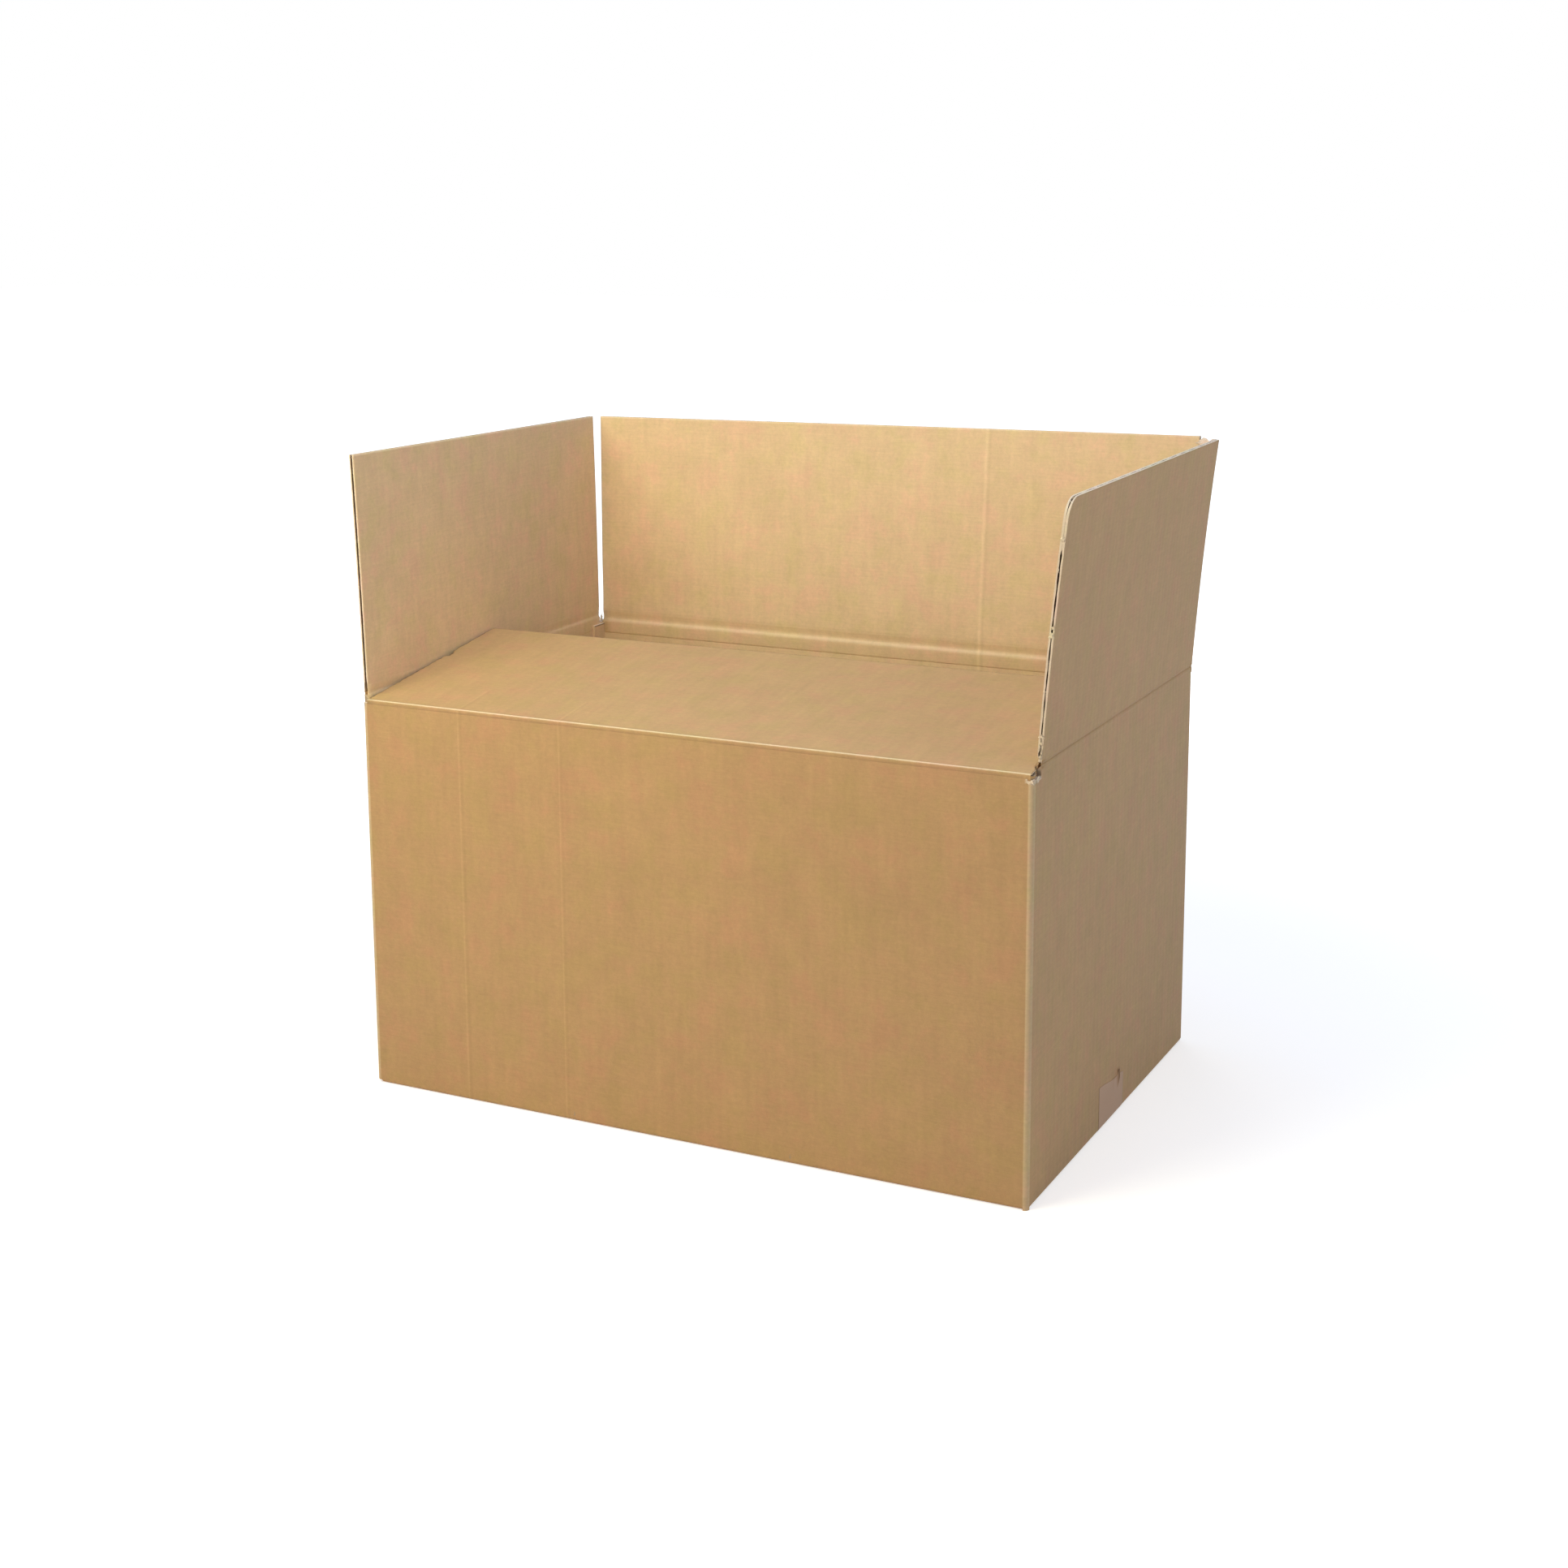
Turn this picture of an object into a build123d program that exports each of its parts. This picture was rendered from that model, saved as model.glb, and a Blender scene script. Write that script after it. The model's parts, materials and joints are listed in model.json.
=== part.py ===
from build123d import *
import os
from math import sqrt

# A single wall corrugated box, standing on its base with its top flaps open.
# Millimetres. X runs along the long walls, Y from front to back, Z up.
# The origin is on the floor, under the middle of the box.

# Driving sizes of the folded box, over its outer faces
box_length = 463.0
box_width = 311.0
long_crease_height = 264.5
board = 3.0
# Flap lengths from crease to free edge, which is cut a little out of square
front_flap_length = 154.5
back_flap_length_left = 154.5
back_flap_length_right = 156.2
left_flap_length_front = 156.9
left_flap_length_back = 152.0
right_flap_length = 154.5
bottom_flap_length = 154.5
corner_radius = 3.0
base_fold_radius = 2.5
# The short walls' creases lie one board higher than the long walls'
short_crease_height = long_crease_height + board

# Corrugation: two liners and a wavy medium, its flutes running up the walls
flute_pitch = 6.59
liner = 0.35
medium = 0.3
flute_base_half = 2.3
flute_tip_half = 0.55
# Board crushed flat next to a crease, where no flute is open
crushed_height = 6.0
# A side cut parallel to the flutes leaves a groove between the liners
side_groove_depth = 1.4
side_groove_liner = 0.6
# Solid board kept between a side groove and the first flute
side_margin = 0.5

# Hinge lines lie just outside the outer liner, with mitred board on each side
hinge_offset = 0.15
mitre_clearance = 0.15

# Distance from each flap's side edges to the box's outer corners
front_flap_left = 3.5
front_flap_right = 3.5
back_flap_left = 3.5
back_flap_right = 3.5
left_flap_front = 2.7
left_flap_back = 7.5
right_flap_front = 12.0
right_flap_back = 0.8
# Height of the four slots' bottoms, above the floor
slot_bottom = 262.0
slot_bottom_right_front = 260.5

# Lean of each flap in the rest pose, in degrees out from upright
front_lean = -82.0
back_lean = 3.5
left_lean = 1.3
right_lean = 5.4

# The right flap's front top corner is rounded, the other corners are square
right_flap_corner_radius = 10.0
# A notch torn from the front flap's left edge
notch_depth = 3.2
notch_start = 91.0
notch_end = 104.0
notch_ramp_in = 3.0
notch_ramp_out = 7.0

# Bottom flaps: the short pair lies inside, the long pair meets at a taped seam
tape_thickness = 0.15
tape_width = 48.0
tape_centre = -2.5
tape_turn_up = 28.0
seam_gap = 1.5
layer_gap = 0.4
bottom_end_gap = 1.0
inner_flap_side = 3.5
bottom_corner_cut = 4.0
bottom_corner_rise = 2.0
nib_size = 3.2

# Glue tab of the maker's joint, inside the left wall at the back corner
tab_width = 15.0
tab_thickness = 1.8
tab_end_gap = 10.0

half_length = box_length / 2
half_width = box_width / 2
# Extra reach that lets a cutting tool pass through a face
reach = 1.0


def block(x0, x1, y0, y1, z0, z1):
    """A box between two opposite corners."""
    size = Box(x1 - x0, y1 - y0, z1 - z0)
    return Pos((x0 + x1) / 2, (y0 + y1) / 2, (z0 + z1) / 2) * size


def strip_section(points):
    """A face from corner points."""
    return make_face(Polyline(*points, close=True))


def flute_section(width):
    """Cut board seen along its flutes: the outline less every flute's opening."""
    inner_groove = board - side_groove_liner
    outline = strip_section(
        [
            (0, 0),
            (width, 0),
            (width, side_groove_liner),
            (width - side_groove_depth, side_groove_liner),
            (width - side_groove_depth, inner_groove),
            (width, inner_groove),
            (width, board),
            (0, board),
            (0, inner_groove),
            (side_groove_depth, inner_groove),
            (side_groove_depth, side_groove_liner),
            (0, side_groove_liner),
        ]
    )
    first = side_groove_depth + side_margin + flute_base_half
    half_pitch = flute_pitch / 2
    count = int((width - 2 * first) / half_pitch) + 1
    start = (width - (count - 1) * half_pitch) / 2
    openings = []
    for i in range(count):
        centre = start + i * half_pitch
        if i % 2:
            base_side = board - liner
            tip_side = liner + medium
        else:
            base_side = liner
            tip_side = board - liner - medium
        opening = strip_section(
            [
                (centre - flute_base_half, base_side),
                (centre + flute_base_half, base_side),
                (centre + flute_tip_half, tip_side),
                (centre - flute_tip_half, tip_side),
            ]
        )
        openings.append(opening)
    return outline - openings


def mitre(width, upward):
    """The wedge that a crease takes from a board whose outer face is at Y = 0."""
    setback = hinge_offset + mitre_clearance * sqrt(2)
    deep = board + reach
    slope = 1 if upward else -1
    near = slope * (setback - reach)
    far = slope * (setback + deep)
    past = -slope * (board + reach)
    wedge = strip_section([(-reach, near), (deep, far), (deep, past), (-reach, past)])
    return extrude(Plane.YZ * wedge, width)


def flat_flap(width, first_length, last_length, corner=0.0):
    """A flap standing on its crease, outer face at Y = 0, inner face at Y = board.

    Its length runs from the first at X = 0 to the last at X = width.
    """
    longest = max(first_length, last_length)
    fluted = extrude(flute_section(width), longest - crushed_height)
    fluted = Pos(0, 0, crushed_height) * fluted
    crushed = block(0, width, 0, board, 0, crushed_height)
    flap = fluted + crushed
    flap = flap - Pos(-reach, 0, 0) * mitre(width + 2 * reach, True)
    if first_length != last_length:
        above = strip_section(
            [
                (0, first_length),
                (width, last_length),
                (width + reach, last_length + longest),
                (-reach, first_length + longest),
            ]
        )
        flap = flap - extrude(Plane.XZ * above, board + reach, both=True)
    if corner:
        base = first_length - corner
        square = block(-reach, corner, -reach, board + reach, base, longest + reach)
        turn = Pos(corner, board / 2, base) * Rot(90, 0, 0)
        flap = flap - (square - turn * Cylinder(corner, 4 * board))
    return flap


def placed(flap, turn, half_span, half_depth, start_side, crease, lean):
    """A flap set on its wall, leaned about its hinge line and turned to its side."""
    hinge = Pos(0, -half_depth - hinge_offset, crease)
    local = Pos(-half_span + start_side, hinge_offset, 0) * flap
    return Rot(0, 0, turn) * hinge * Rot(lean, 0, 0) * local


def front_flap():
    width = box_length - front_flap_left - front_flap_right
    flap = flat_flap(width, front_flap_length, front_flap_length)
    notch = strip_section(
        [
            (-reach, notch_start - reach),
            (0, notch_start),
            (notch_depth, notch_start + notch_ramp_in),
            (notch_depth, notch_end - notch_ramp_out),
            (0, notch_end),
            (-reach, notch_end + reach),
        ]
    )
    cutter = extrude(Plane.XZ * notch, board + reach, both=True)
    flap = flap - cutter
    return placed(flap, 0, half_length, half_width, front_flap_left, long_crease_height, front_lean)


def back_flap():
    width = box_length - back_flap_left - back_flap_right
    flap = flat_flap(width, back_flap_length_right, back_flap_length_left)
    return placed(flap, 180, half_length, half_width, back_flap_right, long_crease_height, back_lean)


def right_flap():
    width = box_width - right_flap_front - right_flap_back
    flap = flat_flap(width, right_flap_length, right_flap_length, right_flap_corner_radius)
    return placed(flap, 90, half_width, half_length, right_flap_front, short_crease_height, right_lean)


def left_flap():
    width = box_width - left_flap_front - left_flap_back
    flap = flat_flap(width, left_flap_length_back, left_flap_length_front)
    return placed(flap, -90, half_width, half_length, left_flap_back, short_crease_height, left_lean)


def outer_block(top):
    """The box's outside, with rounded upright corners and rounded bottom folds."""
    solid = block(-half_length, half_length, -half_width, half_width, tape_thickness, top)
    solid = fillet(solid.edges().filter_by(Axis.Z), corner_radius)
    base = solid.faces().sort_by(Axis.Z)[0]
    return fillet(base.edges(), base_fold_radius)


def corner_slot(side_x, side_y, long_side, short_side, bottom):
    """The slot between two flaps, cut down through one corner of the walls."""
    top = short_crease_height + 2 * reach
    inner_x = half_length - board
    inner_y = half_width - board
    along = block(
        min(half_length - long_side, inner_x),
        inner_x,
        inner_y - reach,
        half_width + reach,
        bottom,
        top,
    )
    across = block(
        inner_x - reach,
        half_length + reach,
        half_width - short_side,
        half_width + reach,
        bottom,
        top,
    )
    slot = along + across
    if side_x < 0:
        slot = mirror(slot, Plane.YZ)
    if side_y < 0:
        slot = mirror(slot, Plane.XZ)
    return slot


def walls():
    """Four walls and the long bottom flaps, open at the top."""
    top = short_crease_height + reach
    inner_x = half_length - board
    inner_y = half_width - board
    floor = tape_thickness + board
    shell = outer_block(top) - block(-inner_x, inner_x, -inner_y, inner_y, floor, top + reach)
    # Mitred tops of the long walls, which stop at the short walls' inner faces
    for turn in (0, 180):
        wedge = Pos(-inner_x, -half_width, long_crease_height) * mitre(2 * inner_x, False)
        shell = shell - Rot(0, 0, turn) * wedge
    # Mitred tops of the short walls
    for turn in (90, -90):
        wedge = Pos(-half_width - reach, -half_length, short_crease_height)
        wedge = wedge * mitre(box_width + 2 * reach, False)
        shell = shell - Rot(0, 0, turn) * wedge
    shell = shell - corner_slot(-1, -1, front_flap_left, left_flap_front, slot_bottom)
    shell = shell - corner_slot(1, -1, front_flap_right, right_flap_front, slot_bottom_right_front)
    shell = shell - corner_slot(-1, 1, back_flap_left, left_flap_back, slot_bottom)
    shell = shell - corner_slot(1, 1, back_flap_right, right_flap_back, slot_bottom)
    return shell


def box_body():
    """The folded sheet without its top flaps."""
    inner_x = half_length - board
    inner_y = half_width - board
    floor = tape_thickness + board
    shell = walls()
    # The long bottom flaps end short of the short walls and meet at the seam
    for side in (-1, 1):
        x0, x1 = sorted((side * inner_x, side * (inner_x - bottom_end_gap)))
        shell = shell - block(x0, x1, -inner_y, inner_y, 0, floor)
    reach_x = inner_x - bottom_end_gap / 2
    shell = shell - block(-reach_x, reach_x, -seam_gap / 2, seam_gap / 2, 0, floor)
    # The short bottom flaps lie on the long ones
    inner_floor = floor + layer_gap
    for side in (-1, 1):
        x0, x1 = sorted((side * (inner_x + board / 2), side * (half_length - bottom_flap_length)))
        y1 = half_width - inner_flap_side
        shell = shell + block(x0, x1, -y1, y1, inner_floor, inner_floor + board)
    # Corners crushed up a little, but for the front right one, which keeps a nib
    cut = bottom_corner_cut
    for side_x, side_y in ((-1, -1), (-1, 1), (1, 1)):
        x0, x1 = sorted((side_x * (half_length - cut), side_x * (half_length + reach)))
        y0, y1 = sorted((side_y * (half_width - cut), side_y * (half_width + reach)))
        shell = shell - block(x0, x1, y0, y1, 0, bottom_corner_rise)
    nib = block(
        half_length - nib_size,
        half_length,
        -half_width,
        -half_width + nib_size,
        0,
        nib_size,
    )
    outer_edge = nib.edges().filter_by(Axis.Z).sort_by(Axis.X)[-2:].sort_by(Axis.Y)[0]
    nib = fillet(outer_edge, corner_radius)
    shell = shell + nib
    # Glue tab, pressed thin against the left wall and folded from the back wall
    tab_z1 = slot_bottom - reach
    tab_z0 = inner_floor + board + tab_end_gap
    tab = block(
        -inner_x - reach,
        -inner_x + tab_thickness,
        inner_y - tab_width,
        inner_y + reach,
        tab_z0,
        tab_z1,
    )
    return shell + tab


def bottom_tape():
    """Tape under the seam and up both short walls."""
    def profile(grow):
        x = half_length + grow
        low = tape_thickness - grow
        rectangle = strip_section([(-x, low), (x, low), (x, box_width), (-x, box_width)])
        corners = rectangle.vertices().sort_by(Axis.Y)[:2]
        return fillet(corners, base_fold_radius + grow)

    above = strip_section(
        [
            (-box_length, tape_turn_up),
            (box_length, tape_turn_up),
            (box_length, 2 * box_width),
            (-box_length, 2 * box_width),
        ]
    )
    section = profile(tape_thickness) - profile(0) - above
    return Pos(0, tape_centre, 0) * extrude(Plane.XZ * section, tape_width / 2, both=True)


os.makedirs("parts", exist_ok=True)
export_step(box_body(), "parts/box_body.step")
export_step(front_flap(), "parts/front_flap.step")
export_step(back_flap(), "parts/back_flap.step")
export_step(left_flap(), "parts/left_flap.step")
export_step(right_flap(), "parts/right_flap.step")
export_step(bottom_tape(), "parts/bottom_tape.step")
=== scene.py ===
import json
import math

import bpy
from mathutils import Matrix, Vector

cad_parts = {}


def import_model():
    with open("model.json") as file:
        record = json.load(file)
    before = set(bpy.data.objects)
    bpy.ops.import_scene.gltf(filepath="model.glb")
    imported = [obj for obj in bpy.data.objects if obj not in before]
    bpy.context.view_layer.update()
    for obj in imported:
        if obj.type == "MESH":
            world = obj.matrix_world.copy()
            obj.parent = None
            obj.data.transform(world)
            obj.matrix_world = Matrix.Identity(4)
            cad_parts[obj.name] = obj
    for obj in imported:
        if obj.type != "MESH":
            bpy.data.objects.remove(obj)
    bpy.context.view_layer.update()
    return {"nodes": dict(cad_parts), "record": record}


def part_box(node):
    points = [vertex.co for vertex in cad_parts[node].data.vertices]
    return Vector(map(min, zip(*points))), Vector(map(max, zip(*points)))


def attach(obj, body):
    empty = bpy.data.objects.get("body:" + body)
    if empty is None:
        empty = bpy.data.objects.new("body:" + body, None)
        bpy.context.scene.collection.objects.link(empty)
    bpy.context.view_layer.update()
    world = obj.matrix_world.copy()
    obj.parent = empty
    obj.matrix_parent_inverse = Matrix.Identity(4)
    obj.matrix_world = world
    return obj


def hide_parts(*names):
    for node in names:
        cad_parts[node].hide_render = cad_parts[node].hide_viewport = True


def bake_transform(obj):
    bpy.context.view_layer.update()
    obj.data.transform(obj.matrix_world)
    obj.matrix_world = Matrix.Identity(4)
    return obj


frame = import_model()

# Sizes in metres: the box and its hinge lines come from the frame, the layers from the board's grade
MM = 0.001
body_low, body_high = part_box("box_body")
LENGTH = round(body_high[0] - body_low[0], 5)
WIDTH = round(body_high[1] - body_low[1], 5)
HALF_L, HALF_W = LENGTH / 2, WIDTH / 2
hinges = {joint["name"]: joint["pos_m"] for joint in frame["record"]["behaviour"]["joints"]}
LONG_TOP, SHORT_TOP = hinges["front_crease"][2], hinges["left_crease"][2]
HINGE_OUT = round(hinges["back_crease"][1] - HALF_W, 6)
BOARD = 3.0 * MM
LINER = 0.35 * MM
MEDIUM = 0.3 * MM
PITCH = 6.59 * MM
FLAP_LENGTH = 154.5 * MM

# Heights on the body: the feet of its slots, and the short bottom flaps' free ends
SLOT_FOOT = 0.2600
BOTTOM_END_X = 0.0770
BOTTOM_END_Z = 0.00505

# The tape's width, its middle line and the wrinkle at its right end
TAPE_WIDTH = 48 * MM
TAPE_MIDDLE = -2.5 * MM
WRINKLE_Y = 12.2 * MM

# Colours of the paper, among them a painted highlight for the front fold and a darker medium that also
# serves as painted shade in the flutes
OUTER = (0.464, 0.272, 0.109, 1)
INNER = (0.745, 0.515, 0.275, 1)
CUT = (0.720, 0.560, 0.380, 1)
# Painted highlight along the front fold
FOLD_HIGHLIGHT = (0.700, 0.510, 0.290, 1)
# Darker medium, which also serves as painted shade in the flutes and between the liners
MEDIUM_AND_SHADE = (0.380, 0.265, 0.160, 1)
SHRED = (0.740, 0.590, 0.400, 1)
# Paler colour for the rounded upright folds
UPRIGHT_FOLD_PALE = (0.640, 0.465, 0.250, 1)
PAPERS = {"outer": OUTER, "inner": INNER, "cut": CUT, "fold": FOLD_HIGHLIGHT, "pit": MEDIUM_AND_SHADE, "shred": SHRED}


# Materials

def material(name):
    mat = bpy.data.materials.new(name)
    mat.use_nodes = True
    mat.node_tree.nodes.clear()
    return mat


class Nodes:
    """Short calls for building one node tree."""

    def __init__(self, owner):
        self.tree = owner.node_tree

    def add(self, kind, **settings):
        node = self.tree.nodes.new(kind)
        for key, value in settings.items():
            setattr(node, key, value)
        return node

    def put(self, socket, value):
        if isinstance(value, bpy.types.NodeSocket):
            self.tree.links.new(value, socket)
        else:
            socket.default_value = value

    def math(self, operation, a, b=0.0, c=0.0, clamp=False):
        node = self.add("ShaderNodeMath", operation=operation, use_clamp=clamp)
        for socket, value in zip(node.inputs, (a, b, c)):
            self.put(socket, value)
        return node.outputs[0]

    def both(self, a, b):
        return self.math("MULTIPLY", a, b)

    def either(self, a, b):
        return self.math("MAXIMUM", a, b)

    def above(self, value, limit):
        return self.math("GREATER_THAN", value, limit)

    def below(self, value, limit):
        return self.math("LESS_THAN", value, limit)

    def scaled(self, value, gain, offset):
        return self.math("MULTIPLY_ADD", value, gain, offset)

    def mix(self, factor, a, b, blend="MIX"):
        node = self.add("ShaderNodeMix", data_type="RGBA", blend_type=blend)
        self.put(node.inputs["Factor"], factor)
        self.put(node.inputs["A"], a)
        self.put(node.inputs["B"], b)
        return node.outputs["Result"]

    def tint(self, factor, colour, filters):
        """The colour, multiplied by the filters where factor is 1."""
        return self.mix(factor, colour, self.mix(1.0, colour, filters, "MULTIPLY"))

    def noise(self, vector, scale, detail=3.0, rough=0.5):
        node = self.add("ShaderNodeTexNoise")
        self.put(node.inputs["Vector"], vector)
        self.put(node.inputs["Scale"], scale)
        self.put(node.inputs["Detail"], detail)
        self.put(node.inputs["Roughness"], rough)
        return node.outputs["Fac"]

    def stretch(self, vector, scale):
        node = self.add("ShaderNodeMapping")
        self.put(node.inputs["Vector"], vector)
        self.put(node.inputs["Scale"], scale)
        return node.outputs["Vector"]

    def split(self, vector):
        node = self.add("ShaderNodeSeparateXYZ")
        self.put(node.inputs[0], vector)
        return list(node.outputs)

    def join(self, kind, values):
        node = self.add(kind)
        for socket, value in zip(node.inputs, values):
            self.put(socket, value)
        return node.outputs[0]

    def band(self, value, low, high):
        """0 below low, 1 above high, smooth between."""
        node = self.add("ShaderNodeMapRange", interpolation_type="SMOOTHSTEP")
        self.put(node.inputs["Value"], value)
        self.put(node.inputs["From Min"], low)
        self.put(node.inputs["From Max"], high)
        return node.outputs["Result"]

    def near(self, value, centre, half):
        """1 at centre, falling smoothly to 0 at half away from it."""
        distance = self.math("ABSOLUTE", self.math("SUBTRACT", value, centre))
        return self.math("SUBTRACT", 1.0, self.band(distance, 0.0, half))

    def seen(self):
        """1 for the rays that show a surface, 0 for those that light others."""
        path = self.add("ShaderNodeLightPath")
        mirrored = self.either(path.outputs["Is Camera Ray"], path.outputs["Is Glossy Ray"])
        return self.either(mirrored, path.outputs["Is Transmission Ray"])

    def finish(self, colour, height, strength, roughness, specular):
        """Bump, shader and output of a surface."""
        bump = self.add("ShaderNodeBump")
        bump.inputs["Strength"].default_value = strength
        bump.inputs["Distance"].default_value = 1.0
        self.put(bump.inputs["Height"], height)
        shader = self.add("ShaderNodeBsdfPrincipled")
        self.put(shader.inputs["Base Color"], colour)
        self.put(shader.inputs["Normal"], bump.outputs[0])
        shader.inputs["Roughness"].default_value = roughness
        shader.inputs["Specular IOR Level"].default_value = specular
        out = self.add("ShaderNodeOutputMaterial")
        self.put(out.inputs["Surface"], shader.outputs[0])


class Spot:
    """Where a shading point lies, how far it is from the middle and how it faces."""

    def __init__(self, n):
        self.point = n.add("ShaderNodeTexCoord").outputs["Object"]
        self.x, self.y, self.z = n.split(self.point)
        self.ax, self.ay = n.math("ABSOLUTE", self.x), n.math("ABSOLUTE", self.y)
        facing = n.split(n.add("ShaderNodeTexCoord").outputs["Normal"])
        self.nx, self.ny, self.nz = (n.math("ABSOLUTE", part) for part in facing)


def upright_folds(n, spot, outside):
    """The rounded upright folds and the narrow line beside them, where the colour is made paler."""
    fold = n.both(
        n.band(spot.ax, HALF_L - 3.6 * MM, HALF_L - 2.2 * MM),
        n.band(spot.ay, HALF_W - 3.6 * MM, HALF_W - 2.2 * MM),
    )
    face = n.both(n.band(spot.ax, HALF_L - 3.7 * MM, HALF_L - 2.8 * MM), n.above(spot.ay, HALF_W - 1.0 * MM))
    return n.both(outside, n.either(fold, face))


def torn_foot(n, spot):
    """Paper torn open round the foot of the slot at the front right corner."""
    ring = n.both(
        n.band(spot.x, HALF_L - 8 * MM, HALF_L - 5 * MM),
        n.band(spot.y, 8 * MM - HALF_W, 11 * MM - HALF_W),
    )
    foot = n.math("SUBTRACT", n.band(spot.x, HALF_L - 6 * MM, HALF_L - 4 * MM), ring, 0.0, True)
    foot = n.both(foot, n.below(spot.y, 9 * MM - HALF_W))
    ragged = n.scaled(n.noise(spot.point, 700.0, 2.0, 0.6), 5 * MM, SLOT_FOOT - 4 * MM)
    return n.both(foot, n.above(spot.z, ragged))


def slot_sides(n, spot):
    """Sides of the slots, where the flutes lie open between the liners and shade is painted in."""
    short = n.both(n.above(spot.ny, 0.7), n.below(spot.ay, HALF_W - 0.1 * MM))
    short = n.both(short, n.above(spot.ax, HALF_L - BOARD))
    long = n.both(n.above(spot.nx, 0.7), n.below(spot.ax, HALF_L - BOARD - 0.2 * MM))
    return n.both(n.above(spot.z, SLOT_FOOT), n.either(short, long))


def bottom_flutes(n, spot):
    """Flutes seen on the free ends of the short bottom flaps, their holes painted dark as shade."""
    end = n.both(n.near(spot.ax, BOTTOM_END_X, 0.6 * MM), n.near(spot.z, BOTTOM_END_Z, 1.6 * MM))
    turn = n.math("SINE", n.both(spot.y, 2 * math.pi / PITCH))
    curve = n.scaled(turn, 1.0 * MM, BOTTOM_END_Z)
    hole = n.band(n.math("ABSOLUTE", n.math("SUBTRACT", spot.z, curve)), 0.18 * MM, 0.36 * MM)
    return n.both(n.above(end, 0.02), hole)


def walls_base(n, spot):
    """Paper colours over the walls and bottom flaps, with painted shade in the open flutes and a paler band
    on the upright folds.
    """
    outside = n.either(n.above(spot.ax, HALF_L - BOARD / 2), n.above(spot.ay, HALF_W - BOARD / 2))
    outside = n.either(outside, n.below(spot.z, BOARD / 2))
    base = n.mix(outside, INNER, OUTER)
    # The rounded upright folds and the line beside them are made paler
    base = n.mix(n.both(upright_folds(n, spot, outside), 0.75), base, UPRIGHT_FOLD_PALE)
    base = n.mix(n.both(torn_foot(n, spot), 0.8), base, SHRED)
    rim = n.both(n.above(spot.nz, 0.5), n.above(spot.z, SLOT_FOOT - 1.5 * MM))
    base = n.mix(rim, base, CUT)
    # Painted shade: the open flutes at the slot sides and the bottom flaps' ends are coloured dark
    base = n.mix(slot_sides(n, spot), base, MEDIUM_AND_SHADE)
    return n.mix(bottom_flutes(n, spot), base, MEDIUM_AND_SHADE)


def walls_across(n, spot):
    """The coordinate that crosses the flutes: y on short walls and bottom flaps, x elsewhere."""
    short_bottom = n.both(n.above(spot.ax, BOTTOM_END_X), n.below(spot.z, 8 * MM))
    short_bottom = n.both(short_bottom, n.above(spot.z, 3.2 * MM))
    return n.mix(n.either(n.above(spot.nx, 0.7), short_bottom), spot.x, spot.y)


def pressed_lines(n, spot, colour):
    """Lines pressed in by the rollers: two on the front, one on the back."""
    front, back = n.below(spot.y, -0.12), n.above(spot.y, 0.12)
    pale = n.math("ADD", n.near(spot.x, -0.1577, 1.2 * MM), n.near(spot.x, -0.0828, 1.0 * MM))
    pale = n.math("ADD", n.both(front, pale), n.both(back, n.near(spot.x, 0.0780, 2.0 * MM)))
    dark = n.math("ADD", n.near(spot.x, -0.1556, 1.6 * MM), n.near(spot.x, -0.0808, 1.4 * MM))
    dark = n.math("ADD", n.both(front, dark), n.both(back, n.near(spot.x, 0.0805, 1.8 * MM)))
    colour = n.tint(n.both(pale, 0.16), colour, (1.6, 1.65, 1.75, 1))
    return n.tint(n.both(dark, 0.10), colour, (0.5, 0.48, 0.44, 1))


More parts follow.
